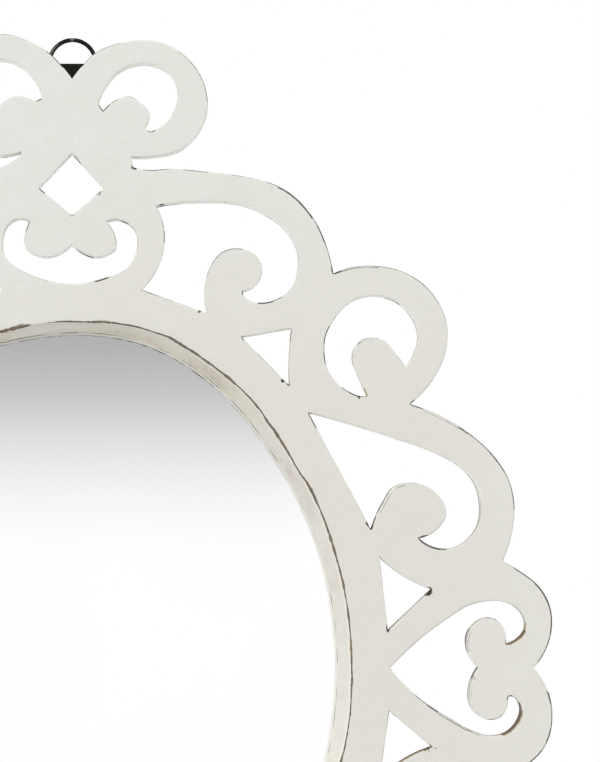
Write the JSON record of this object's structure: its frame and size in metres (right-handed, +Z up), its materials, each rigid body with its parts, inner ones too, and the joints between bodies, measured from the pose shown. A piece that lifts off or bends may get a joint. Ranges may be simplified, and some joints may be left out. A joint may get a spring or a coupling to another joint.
{
  "type": "oval wall mirror",
  "caption": "Oval wall mirror in a distressed white fretwork scroll frame, hung by a swinging D-ring on its back.",
  "frame": {"origin": "hanging point: inside top of the upright D-ring, in the plane of the wall", "axes": "+Z up along the mirror's height, +Y from the mirror's face to the wall, +X to the right seen from the front"},
  "size_m": [0.6, 0.0205, 0.7888],
  "materials": {
    "painted_wood": "distressed off-white satin paint over brown wood",
    "mirror": "silvered float glass",
    "card": "plain card",
    "hardboard": "raw hardboard",
    "screw_steel": "zinc plate, a little dull",
    "black_steel": "black lacquer",
    "bumper_rubber": "matt"
  },
  "bodies": {
    "frame": {"fretwork_frame": "painted_wood", "mirror_glass": "mirror", "packing_sheet": "card", "backing_board": "hardboard", "backing_screws": "screw_steel", "hanger_strap": "black_steel", "hanger_screws": "black_steel", "wall_bumpers": "bumper_rubber"},
    "ring": {"hanger_ring": "black_steel"}
  },
  "joints": [
    {"name": "ring_swing", "type": "hinge", "parent": "frame", "child": "ring", "pos_m": [0, -0.00295, -0.01605], "axis": [-1, 0, 0], "range_deg": [-5, 170]}
  ]
}
